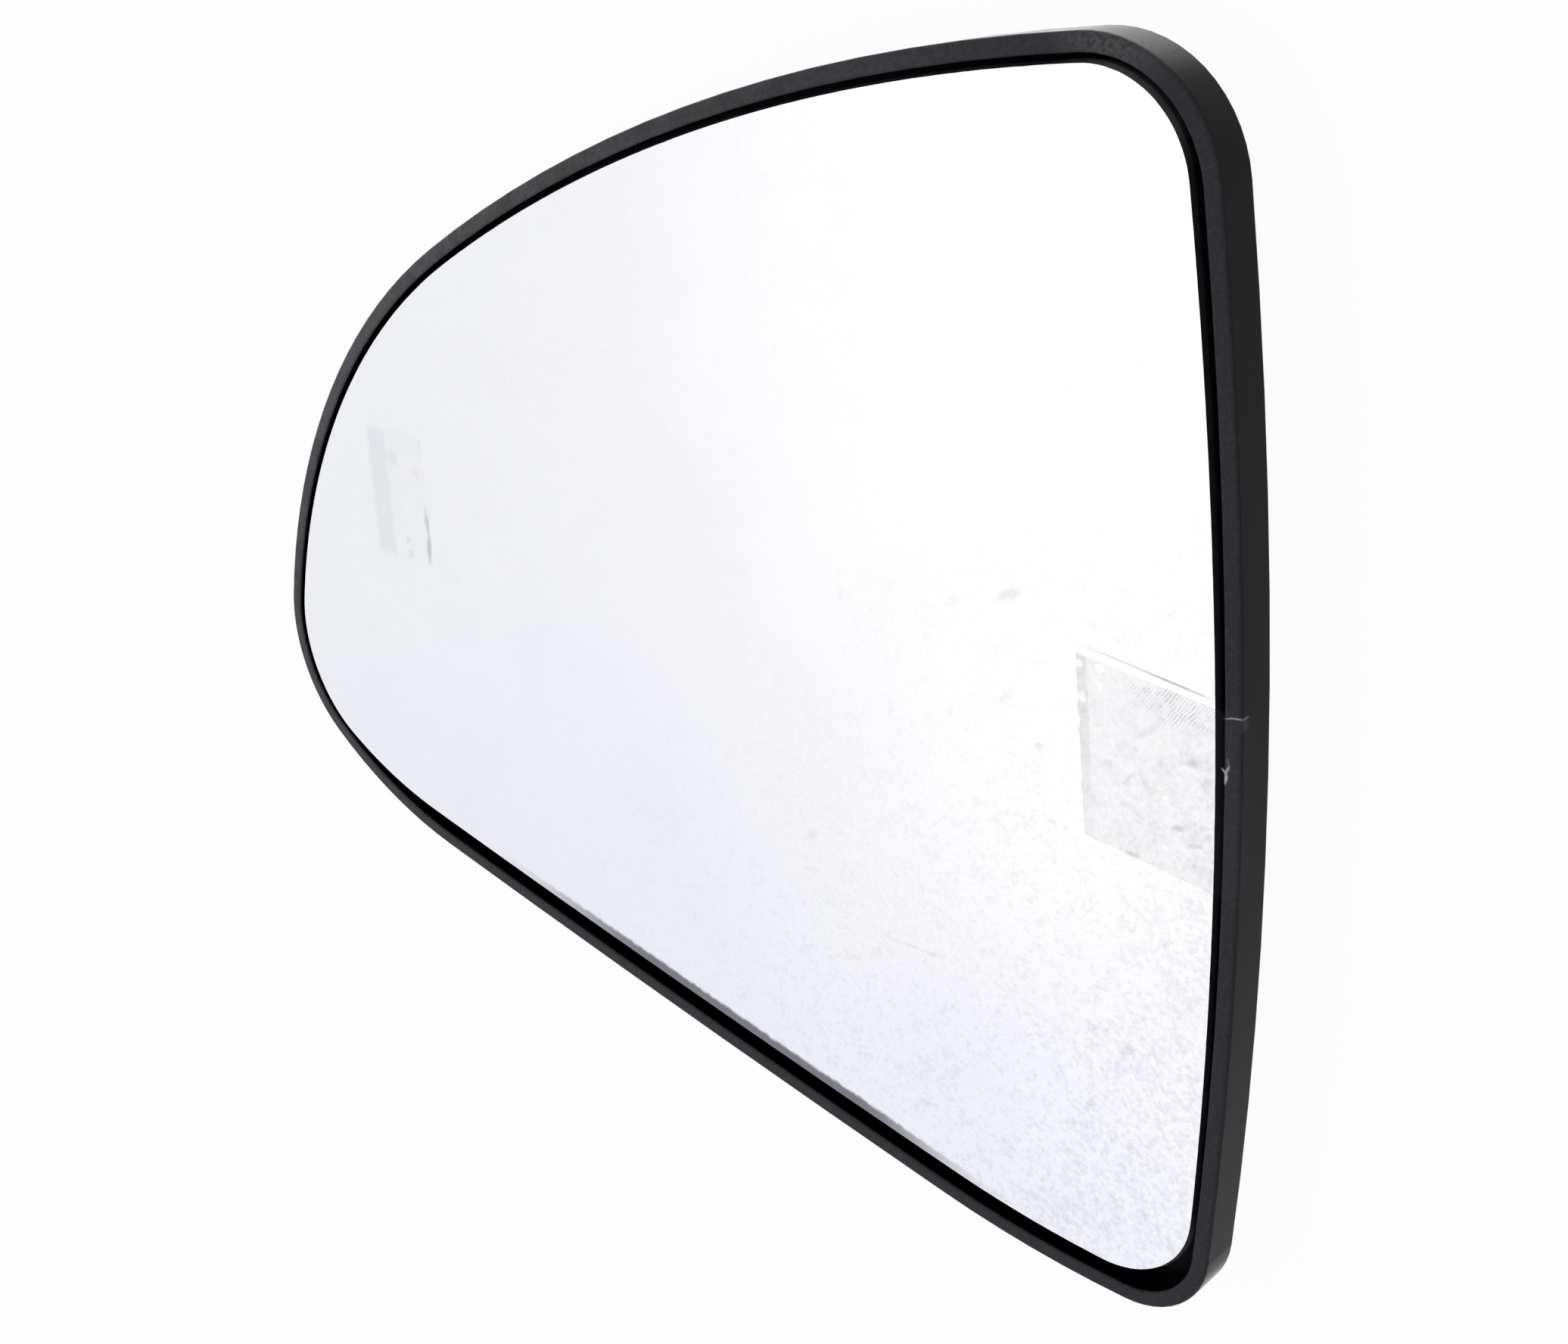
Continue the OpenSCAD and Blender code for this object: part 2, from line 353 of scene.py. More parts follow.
class Nodes:
    """Places and wires the nodes of one tree."""

    def __init__(self, tree: bpy.types.NodeTree) -> None:
        """Starts on a tree."""
        self.tree = tree

    def add(self, kind: str, inputs: dict[str, object] | None = None, **settings: object) -> bpy.types.Node:
        """Adds a node.

        Args:
            kind: the node's type, without the leading ShaderNode.
            inputs: socket names with either a value or the socket that feeds it.
            **settings: attributes of the node itself.

        Returns:
            The new node.
        """
        node = self.tree.nodes.new(kind if kind.startswith("Node") else f"ShaderNode{kind}")
        for key, value in settings.items():
            setattr(node, key, value)
        for key, value in (inputs or {}).items():
            self.feed(node.inputs[key], value)
        return node

    def feed(self, socket: bpy.types.NodeSocket, value: object) -> None:
        """Links a socket to another, or sets its value."""
        if isinstance(value, bpy.types.NodeSocket):
            self.tree.links.new(value, socket)
        else:
            socket.default_value = value

    def math(self, operation: str, a: object, b: object = 0.0, clamp: bool = False) -> bpy.types.NodeSocket:
        """A Math node's result."""
        node = self.add("Math", operation=operation, use_clamp=clamp)
        self.feed(node.inputs[0], a)
        self.feed(node.inputs[1], b)
        return node.outputs[0]

    def product(self, *values: object) -> bpy.types.NodeSocket:
        """The product of some values."""
        return reduce(lambda a, b: self.math("MULTIPLY", a, b), values)

    def sum(self, *values: object, clamp: bool = False) -> bpy.types.NodeSocket:
        """The sum of some values, kept from 0 to 1 if clamp is set."""
        return self.math("ADD", reduce(lambda a, b: self.math("ADD", a, b), values[:-1]), values[-1], clamp)

    def span(
        self, value: object, low: float, high: float, to_low: float = 0.0, to_high: float = 1.0
    ) -> bpy.types.NodeSocket:
        """Maps a value from one range to another, smoothly and clamped."""
        node = self.add(
            "MapRange",
            {"Value": value, "From Min": low, "From Max": high, "To Min": to_low, "To Max": to_high},
            interpolation_type="SMOOTHSTEP",
        )
        return node.outputs["Result"]

    def mix(self, factor: object, a: object, b: object) -> bpy.types.NodeSocket:
        """A mix of two colours."""
        node = self.add("Mix", data_type="RGBA")
        self.feed(node.inputs["Factor"], factor)
        self.feed(node.inputs["A"], a)
        self.feed(node.inputs["B"], b)
        return node.outputs["Result"]

    def noise(
        self, where: object, scale: float, detail: float = 3.0, roughness: float = 0.5
    ) -> bpy.types.NodeSocket:
        """A noise that is a height, at a place in metres."""
        inputs = {"Vector": where, "Scale": scale, "Detail": detail, "Roughness": roughness}
        return self.add("TexNoise", inputs).outputs["Fac"]

    def drift(
        self,
        where: object,
        scale: float,
        low: float = 0.0,
        high: float = 1.0,
        detail: float = 3.0,
        roughness: float = 0.5,
    ) -> bpy.types.NodeSocket:
        """A noise stretched so that it runs from low to high."""
        return self.span(self.noise(where, scale, detail, roughness), 0.3, 0.7, low, high)

    def place(self) -> bpy.types.NodeSocket:
        """The place on the piece, in metres."""
        return self.add("TexCoord").outputs["Object"]

    def parts(self, vector: object) -> list[bpy.types.NodeSocket]:
        """The three parts of a vector."""
        return list(self.add("SeparateXYZ", {"Vector": vector}).outputs)

    def millimetres(self, place: object) -> list[bpy.types.NodeSocket]:
        """The three parts of a place, in millimetres."""
        return [self.math("DIVIDE", part, MM) for part in self.parts(place)]

    def relief(self, shader: bpy.types.Node, height: object, strength: float, depth: float) -> None:
        """Gives a shader a relief that is depth millimetres deep."""
        bump = self.add("Bump", {"Height": height, "Strength": strength, "Distance": depth * MM})
        self.feed(shader.inputs["Normal"], bump.outputs["Normal"])

    def vector(self, operation: str, a: object, b: object = (0.0, 0.0, 0.0)) -> bpy.types.Node:
        """A Vector Math node."""
        node = self.add("VectorMath", operation=operation)
        self.feed(node.inputs[0], a)
        self.feed(node.inputs[1], b)
        return node

    def warp(self, place: object, scale: float, reach: float) -> bpy.types.NodeSocket:
        """A place that noise moves by about reach millimetres, for ragged marks."""
        colour = self.add("TexNoise", {"Vector": place, "Scale": scale, "Detail": 3.0}).outputs["Color"]
        centred = self.vector("SUBTRACT", colour, (0.5, 0.5, 0.5)).outputs["Vector"]
        spread = 4 * reach * MM
        moved = self.vector("MULTIPLY", centred, (spread, spread, 0.0)).outputs["Vector"]
        return self.vector("ADD", place, moved).outputs["Vector"]

    def beyond(self, place: object, arc: Arc) -> bpy.types.NodeSocket:
        """How far a place lies outside an arc, in millimetres."""
        flat = self.vector("MULTIPLY", place, (1.0, 1.0, 0.0)).outputs["Vector"]
        centre = (arc.centre[0] * MM, arc.centre[1] * MM, 0.0)
        reach = self.vector("DISTANCE", flat, centre).outputs["Value"]
        return self.math("SUBTRACT", self.math("DIVIDE", reach, MM), arc.radius)

    def along(self, place: object, at: Point, turn: float) -> list[bpy.types.NodeSocket]:
        """The place in millimetres along and across a line through a point, at turn degrees."""
        node = self.add(
            "Mapping",
            {
                "Vector": place,
                "Location": (at[0] * MM, at[1] * MM, 0.0),
                "Rotation": (0.0, 0.0, math.radians(turn)),
                "Scale": (MM, MM, 1.0),
            },
            vector_type="TEXTURE",
        )
        return self.parts(node.outputs["Vector"])[:2]


class Effects:
    """The node groups that several finishes share, each built once."""

    _made: dict[str, bpy.types.NodeTree] = {}

    @classmethod
    def _group(
        cls,
        name: str,
        inputs: dict[str, float],
        outputs: Sequence[str],
        fill: Callable[[Nodes, bpy.types.NodeSocket, dict[str, bpy.types.NodeSocket]], dict[str, object]],
    ) -> bpy.types.NodeTree:
        """Builds a group with a Place input, named values and named values out."""
        if name not in cls._made:
            tree = bpy.data.node_groups.new(name, "ShaderNodeTree")
            tree.interface.new_socket("Place", in_out="INPUT", socket_type="NodeSocketVector")
            for key, value in inputs.items():
                socket = tree.interface.new_socket(key, in_out="INPUT", socket_type="NodeSocketFloat")
                socket.default_value = value
            for key in outputs:
                tree.interface.new_socket(key, in_out="OUTPUT", socket_type="NodeSocketFloat")
            nodes = Nodes(tree)
            entry = nodes.add("NodeGroupInput")
            leave = nodes.add("NodeGroupOutput")
            values = {key: entry.outputs[key] for key in inputs}
            for key, value in fill(nodes, entry.outputs["Place"], values).items():
                nodes.feed(leave.inputs[key], value)
            cls._made[name] = tree
        return cls._made[name]

    @classmethod
    def grain(cls) -> bpy.types.NodeTree:
        """Moulded grain: Height is the fine relief, less deep in places."""

        def fill(n: Nodes, place: object, v: dict[str, object]) -> dict[str, object]:
            fine = n.noise(place, v["Scale"], 2.0, 0.6)
            cloud = n.noise(place, n.product(v["Scale"], 0.02), 2.0)
            depth = n.sum(n.product(cloud, v["Unevenness"]), n.math("SUBTRACT", 1.0, v["Unevenness"]))
            return {"Height": n.product(fine, depth)}

        return cls._group("moulded_grain", {"Scale": 3000.0, "Unevenness": 0.4}, ("Height",), fill)

    @classmethod
    def haze(cls) -> bpy.types.NodeTree:
        """Dust and dried film: Haze is the slow veil."""

        def fill(n: Nodes, place: object, v: dict[str, object]) -> dict[str, object]:
            return {"Haze": n.span(n.noise(place, v["Veil Scale"], 4.0, 0.62), 0.38, 0.7)}

        return cls._group("dust_haze", {"Veil Scale": 90.0}, ("Haze",), fill)

    @classmethod
    def mark(cls) -> bpy.types.NodeTree:
        """One soft oval mark: Mask is 1 in its middle and 0 outside. Lengths are in millimetres."""

        def fill(n: Nodes, place: object, v: dict[str, object]) -> dict[str, object]:
            at = n.add("CombineXYZ", {"X": v["At X"], "Y": v["At Y"], "Z": 0.0}).outputs["Vector"]
            centre = n.vector("MULTIPLY", at, (MM, MM, MM)).outputs["Vector"]
            turn = n.add("CombineXYZ", {"X": 0.0, "Y": 0.0, "Z": v["Turn"]}).outputs["Vector"]
            halves = {"X": v["Half Length"], "Y": v["Half Width"], "Z": 1.0}
            size = n.add("CombineXYZ", halves).outputs["Vector"]
            scale = n.vector("MULTIPLY", size, (MM, MM, 1.0)).outputs["Vector"]
            local = n.add(
                "Mapping",
                {"Vector": place, "Location": centre, "Rotation": turn, "Scale": scale},
                vector_type="TEXTURE",
            ).outputs["Vector"]
            flat = n.vector("MULTIPLY", local, (1.0, 1.0, 0.0)).outputs["Vector"]
            return {"Mask": n.span(n.vector("LENGTH", flat).outputs["Value"], 1.0, 0.2)}

        names = ("At X", "At Y", "Half Length", "Half Width", "Turn")
        return cls._group("soft_mark", {name: 1.0 for name in names}, ("Mask",), fill)

    @staticmethod
    def use(nodes: Nodes, tree: bpy.types.NodeTree, **inputs: object) -> bpy.types.Node:
        """Places a group in a material, with its own values."""
        node = nodes.add("Group", node_tree=tree)
        for key, value in inputs.items():
            nodes.feed(node.inputs[key.replace("_", " ")], value)
        return node


@dataclass(frozen=True)
class Mark:
    """One soft oval: a dried mark, smear or bubble, or a painted gleam, glint or reflection.

    Args:
        at: its middle, in millimetres.
        half: half its length and half its width.
        turn: the direction of its length, in degrees.
        depth: how strong it is. Below zero it clears what lies there.
    """

    at: Point
    half: Point
    turn: float
    depth: float

    @staticmethod
    def total(nodes: Nodes, place: object, marks: Sequence["Mark"]) -> bpy.types.NodeSocket:
        """The sum of the marks' depths at a place."""
        total: object = 0.0
        for mark in marks:
            spot = Effects.use(
                nodes,
                Effects.mark(),
                Place=place,
                At_X=mark.at[0],
                At_Y=mark.at[1],
                Half_Length=mark.half[0],
                Half_Width=mark.half[1],
                Turn=math.radians(mark.turn),
            )
            total = nodes.sum(total, nodes.product(spot.outputs["Mask"], mark.depth))
        return total


def new_material(name: str) -> tuple[bpy.types.Material, Nodes, bpy.types.Node]:
    """An empty material, its nodes and its Principled BSDF, which is already wired to the output."""
    material = bpy.data.materials.new(name)
    material.use_nodes = True
    material.node_tree.nodes.clear()
    nodes = Nodes(material.node_tree)
    shader = nodes.add("BsdfPrincipled")
    nodes.add("OutputMaterial", {"Surface": shader.outputs["BSDF"]})
    return material, nodes, shader


# Finishes


@dataclass(frozen=True)
class MouldedBlack:
    """The semi-matt black plastic of the backing plate, with painted shade, sheen and gleam in its colour.

    Args:
        wall: its colour where it faces sideways, a darker copy of the face colour that is painted shade.
        face: its colour where it faces forwards or backwards, at the end with the side tape, the lit copy of
            the plastic.
        sheen_tone: the same near the nose, where the painted sheen is strongest.
        sheen_tint: the greener tint that the painted sheen has in patches.
        groove_shade: its colour in the groove round the glass, painted shade.
        gleam_colour: its colour where the painted gleam on the upper corner's wall is strongest.
        painted_corner_gleam: the painted gleam on the outer wall of the upper corner.
        sheen_x: from where to where across the part the painted sheen grows.
        nose_x: from where to where it grows less again towards the nose.
        nose_share: how much of it is left at the nose.
        low_y: from where to where down the part it grows less.
        low_share: how much of it is left at the sill.
        flatness: how upright the normal is on a wall and on a face.
        mottle_scale: how fine the blotches of the painted sheen are.
        patch_scale: how fine the greener patches are.
        fleck_scale: how fine the flecks in the colour are.
        rub_scale: how fine the change in roughness is.
        grain_scale: how fine the moulded grain is.
        grain_strength: how strongly it shows.
        grain_depth: how deep it is.
        roughness: the roughness of the faces.
        wall_roughness: the roughness of the walls.
        specular: how shiny the plastic is.
        mouth: from where to where below the front face the painted groove shade sets in.
        levels: the heights that tell the groove from the rest.
    """

    wall: Colour = (0.0042, 0.0041, 0.0046, 1.0)
    face: Colour = (0.034, 0.033, 0.039, 1.0)
    sheen_tone: Colour = (0.102, 0.099, 0.112, 1.0)
    sheen_tint: Colour = (0.1, 0.103, 0.095, 1.0)
    groove_shade: Colour = (0.0012, 0.0012, 0.0018, 1.0)
    gleam_colour: Colour = (0.2, 0.2, 0.19, 1.0)
    painted_corner_gleam: Mark = Mark((71.5, 57.0), (9.5, 5.0), -34, 1.25)
    sheen_x: Point = (75.0, -60.0)
    nose_x: Point = (-70.0, -98.0)
    nose_share: float = 0.6
    low_y: Point = (2.0, -38.0)
    low_share: float = 0.2
    flatness: Point = (0.03, 0.55)
    mottle_scale: float = 330.0
    patch_scale: float = 70.0
    fleck_scale: float = 2000.0
    rub_scale: float = 140.0
    grain_scale: float = 2600.0
    grain_strength: float = 0.3
    grain_depth: float = 0.04
    roughness: float = 0.36
    wall_roughness: float = 0.15
    specular: float = 0.05
    mouth: Point = (0.1, 0.7)
    levels: Levels = Levels()

    def groove(self, n: Nodes, place: object, normal: object) -> bpy.types.NodeSocket:
        """A mask of where shade is painted in the groove: the rim's inner wall below its rounded edge, and
        the web beside the glass.
        """
        up = n.parts(normal)[2]
        height = n.millimetres(place)[2]
        flat = n.vector("MULTIPLY", place, (1.0, 1.0, 0.0)).outputs["Vector"]
        outward = n.vector("NORMALIZE", flat).outputs["Vector"]
        facing = n.vector("DOT_PRODUCT", normal, outward).outputs["Value"]
        below = n.span(height, self.levels.front - self.mouth[0], self.levels.front - self.mouth[1])
        inner_wall = n.product(n.span(facing, -0.2, -0.5), below)
        groove_floor = n.product(n.span(up, 0.7, 0.9), below)
        above_web = n.math("GREATER_THAN", height, self.levels.web - 0.2)
        return n.product(n.math("MAXIMUM", inner_wall, groove_floor), above_web)

    def fading(self, n: Nodes, place: object) -> bpy.types.NodeSocket:
        """How strong the painted sheen is at a place."""
        x, y, _ = n.millimetres(place)
        ends = {"Value": x, "From Min": self.sheen_x[0], "From Max": self.sheen_x[1]}
        across = n.add("MapRange", ends).outputs["Result"]
        at_nose = n.span(x, self.nose_x[1], self.nose_x[0], self.nose_share, 1.0)
        low = n.span(y, self.low_y[1], self.low_y[0], self.low_share, 1.0)
        mottle = n.drift(place, self.mottle_scale, 0.7, 1.25, 4.0, 0.6)
        return n.product(across, at_nose, low, mottle)

    def make(self) -> bpy.types.Material:
        """Makes the material."""
        material, n, shader = new_material("moulded_black")
        place = n.place()
        normal = n.add("TexCoord").outputs["Normal"]
        groove = self.groove(n, place, normal)
        # Painted sheen: the faces turn lighter towards the nose, and greener in patches.
        patches = n.mix(n.span(n.noise(place, self.patch_scale, 2.0), 0.4, 0.6), self.sheen_tone, self.sheen_tint)
        face = n.mix(self.fading(n, place), self.face, patches)
        fleck = n.drift(place, self.fleck_scale, 0.7, 1.0, roughness=0.7)
        # Painted gleam on the outer wall of the upper corner.
        wall_gleam = n.product(Mark.total(n, place, (self.painted_corner_gleam,)), fleck)
        wall = n.mix(wall_gleam, self.wall, self.gleam_colour)
        flat = n.span(n.math("ABSOLUTE", n.parts(normal)[2]), *self.flatness)
        # Painted shade: the walls take a much darker colour than the faces, by which way the normal points.
        tone = n.mix(n.product(flat, fleck), wall, face)
        # Painted shade in the groove: a near-black colour, and metal there so that it hardly reflects.
        n.feed(shader.inputs["Base Color"], n.mix(groove, tone, self.groove_shade))
        n.feed(shader.inputs["Metallic"], groove)
        rub = n.span(n.noise(place, self.rub_scale), 0.45, 0.7, -0.05, 0.06)
        rough = n.span(flat, 0.0, 1.0, self.wall_roughness, self.roughness)
        n.feed(shader.inputs["Roughness"], n.sum(rub, rough))
        grain = Effects.use(n, Effects.grain(), Place=place, Scale=self.grain_scale, Unevenness=0.5)
        n.relief(shader, grain.outputs["Height"], self.grain_strength, self.grain_depth)
        shader.inputs["IOR"].default_value = 1.49
        shader.inputs["Specular IOR Level"].default_value = self.specular
        return material


@dataclass(frozen=True)
class FoamFinish:
    """The pale closed-cell foam of the pad.

    Args:
        cell: its colour inside the cells.
        skin: its colour on their walls.
        cell_scale: how fine the cells are.
    """

    cell: Colour = (0.62, 0.62, 0.6, 1.0)
    skin: Colour = (0.82, 0.82, 0.79, 1.0)
    cell_scale: float = 2400.0

    def make(self) -> bpy.types.Material:
        """Makes the material."""
        material, n, shader = new_material("pad_foam")
        place = n.place()
        cells = n.add("TexVoronoi", {"Vector": place, "Scale": self.cell_scale}).outputs["Distance"]
        n.feed(shader.inputs["Base Color"], n.mix(n.span(cells, 0.1, 0.5), self.cell, self.skin))
        n.feed(shader.inputs["Roughness"], n.drift(place, 300.0, 0.8, 0.95))
        n.relief(shader, cells, 0.6, 0.08)
        return material


@dataclass(frozen=True)
class MirrorFinish:
    """The silvered face: nearly white, dusty and grainy towards the lower corner, with dried marks on it, and
    with painted reflections of the side tape's edge and of the glass's edge along the sill.

    Args:
        clean: its colour where nothing lies on it.
        stain_and_reflection_tone: the colour that dirt and the painted reflections turn it to.
        edge_reflection_grey: the grey of the band along the middle of the sill, a painted reflection of the
            glass's ground edge seen through the glass.
        haze: how much the slow veil takes away.
        dust: how much the dust takes away at the lower corner.
        dust_run: from where to where the dust grows, along its direction.
        dust_way: that direction, in degrees.
        grain: how strong the fine grain is.
        clots: how strong the coarser grain is.
        grain_run: from where to where the grain grows, along its direction.
        grain_way: that direction, in degrees.
        grain_share: how strong it is at both ends.
        smudge: how strong the scattered smudges are.
        smudge_run: from where to where they grow, along the dust's direction.
        band_left: from where to where across the part the grey band begins.
        band_right: from where to where it ends.
        band_edge: from where to where it darkens, past the edge of the clear face.
        band_swell: how much further in it goes at its widest.
        sill: the arc of the clear face's lower edge.
        marks: the dried marks; the last one is a painted reflection, a brighter band along the side tape's
            top edge.
        tape_edge_reflections: the crisp dark lines beside the side tape, painted reflections of its top edge.
    """

    clean: Colour = WHITE
    stain_and_reflection_tone: Colour = (0.36, 0.36, 0.42, 1.0)
    edge_reflection_grey: Colour = (0.225, 0.225, 0.24, 1.0)
    haze: float = 0.028
    dust: float = 0.085
    dust_run: Point = (55.0, 74.0)
    dust_way: float = -36.9
    grain: float = 0.75
    clots: float = 0.32
    grain_run: Point = (-8.0, 84.0)
    grain_way: float = -60.0
    grain_share: Point = (0.15, 1.3)
    smudge: float = 0.035
    smudge_run: Point = (12.0, 40.0)
    band_left: Point = (-64.0, -30.0)
    band_right: Point = (30.0, 4.0)
    band_edge: Point = (-1.3, -0.65)
    band_swell: float = 0.4
    sill: Arc = Outline().arc(Stretch.SILL)
    marks: tuple[Mark, ...] = (
        Mark((46.9, 4.6), (3.0, 0.95), 12, 0.24),
        Mark((38.9, 4.2), (2.0, 0.9), 28, 0.09),
        Mark((21.7, 4.9), (2.3, 0.7), 60, 0.07),
        Mark((57.2, 1.0), (1.5, 0.5), -18, 0.16),
        Mark((66.5, 1.9), (1.0, 0.4), 15, 0.15),
        Mark((42.7, -7.0), (3.2, 0.7), 20, 0.12),
        Mark((46.5, -12.2), (0.95, 0.55), 0, 0.22),
        Mark((24.2, -4.9), (1.6, 0.6), -60, -0.05),
        Mark((7.8, -24.9), (2.0, 0.8), 25, 0.11),
        Mark((5.2, -24.3), (1.1, 0.8), 0, -0.05),
        Mark((21.3, -38.4), (5.6, 0.4), -12, 0.16),
        Mark((50.0, -47.6), (2.0, 0.8), 12, 0.2),
        Mark((43.5, -54.9), (1.4, 0.6), 25, 0.1),
        Mark((48.0, -45.2), (1.1, 0.5), 20, 0.1),
        # This last mark is a painted reflection: a brighter band along the side tape's top edge.
        Mark((61.9, -4.5), (9.4, 0.75), -20.8, -0.09),
    )
    # Painted reflections of the side tape's top edge: two crisp dark lines.
    tape_edge_reflections: tuple[Mark, ...] = (
        Mark((61.0, -3.3), (11.0, 0.2), -21.6, 0.34),
        Mark((66.0, -5.3), (6.0, 0.22), -21.6, 0.5),
    )

    def dirt_and_edge_reflections(self, n: Nodes, place: object, ragged: object, veil: object) -> bpy.types.NodeSocket:
        """How much of the silver's brightness is lost at a place, to dirt and to painted reflections of the
        side tape's edge.

        Args:
            n: the material's nodes.
            place: the place.
            ragged: the same place, moved by noise.
            veil: the slow veil there.

        Returns:
            The loss, from 0 to 1.
        """
        origin = (0.0, 0.0)
        dusty = n.along(place, origin, self.dust_way)[0]
        grainy = n.along(place, origin, self.grain_way)[0]
        grain = n.product(n.math("SUBTRACT", n.noise(place, 1500.0, 3.0, 0.65), 0.5), self.grain)
        clots = n.product(n.math("SUBTRACT", n.noise(place, 480.0, 2.0, 0.6), 0.5), self.clots)
        smudges = n.span(n.noise(place, 330.0), 0.6, 0.72, 0.0, self.smudge)
        return n.sum(
            n.product(n.sum(grain, clots), n.span(grainy, *self.grain_run, *self.grain_share)),
            n.span(dusty, *self.dust_run, 0.0, self.dust),
            n.product(veil, self.haze),
            n.product(smudges, n.span(dusty, *self.smudge_run)),
            Mark.total(n, ragged, self.marks),
            # Painted reflections of the side tape's top edge.
            Mark.total(n, place, self.tape_edge_reflections),
            clamp=True,
        )

    def band(self, n: Nodes, place: object, ragged: object) -> bpy.types.NodeSocket:
        """The painted reflection of the glass's edge: a grey band along the sill, which is widest in its
        middle.
        """
        x = n.millimetres(place)[0]
        window = n.product(n.span(x, *self.band_left), n.span(x, *self.band_right))
        past = n.sum(n.beyond(ragged, self.sill), n.product(window, self.band_swell))
        return n.product(n.span(past, *self.band_edge), window)

    def make(self) -> bpy.types.Material:
        """Makes the material."""
        material, n, shader = new_material("mirror_face")
        place = n.place()
        ragged = n.warp(place, 900.0, 0.2)
        veil = Effects.use(n, Effects.haze(), Place=place, Veil_Scale=70.0).outputs["Haze"]
        stained_with_reflections = n.mix(self.dirt_and_edge_reflections(n, place, ragged, veil), self.clean, self.stain_and_reflection_tone)
        # The grey band along the sill is a painted reflection of the glass's edge.
        n.feed(shader.inputs["Base Color"], n.mix(self.band(n, place, ragged), stained_with_reflections, self.edge_reflection_grey))
        n.feed(shader.inputs["Roughness"], n.span(veil, 0.0, 1.0, 0.005, 0.03))
        shader.inputs["Metallic"].default_value = 1.0
        return material


@dataclass(frozen=True)
class GroundGlassFinish:
    """The ground edge of the glass: dark, but for a grey gleam along the sill and round both corners.

    Args:
        dark: its colour where it gleams least.
        pale: its colour where it gleams most.
        gleams: where it gleams.
        grain_scale: how fine the ground surface is.
        streak_scale: how fine the streaks along it are.
    """

    dark: Colour = (0.006, 0.006, 0.008, 1.0)
    pale: Colour = (0.07, 0.07, 0.078, 1.0)
    gleams: tuple[Mark, ...] = (
        Mark((-12.0, -50.2), (62.0, 6.0), -28.7, 1.6),
        Mark((74.2, 51.7), (10.0, 10.0), 0, 1.0),
        Mark((50.0, -73.5), (9.0, 9.0), 0, 1.0),
    )
    grain_scale: float = 5000.0
    streak_scale: float = 420.0

    def make(self) -> bpy.types.Material:
        """Makes the material."""
        material, n, shader = new_material("ground_glass_edge")
        place = n.place()
        streaks = n.drift(place, self.streak_scale, 0.7, 1.0)
        gleam = n.product(streaks, Mark.total(n, place, self.gleams))
        n.feed(shader.inputs["Base Color"], n.mix(gleam, self.dark, self.pale))
        n.feed(shader.inputs["Roughness"], n.span(streaks, 0.7, 1.0, 0.5, 0.7))
        grain = Effects.use(n, Effects.grain(), Place=place, Scale=self.grain_scale, Unevenness=0.3)
        n.relief(shader, grain.outputs["Height"], 0.5, 0.05)
        shader.inputs["Specular IOR Level"].default_value = 0.2
        return material


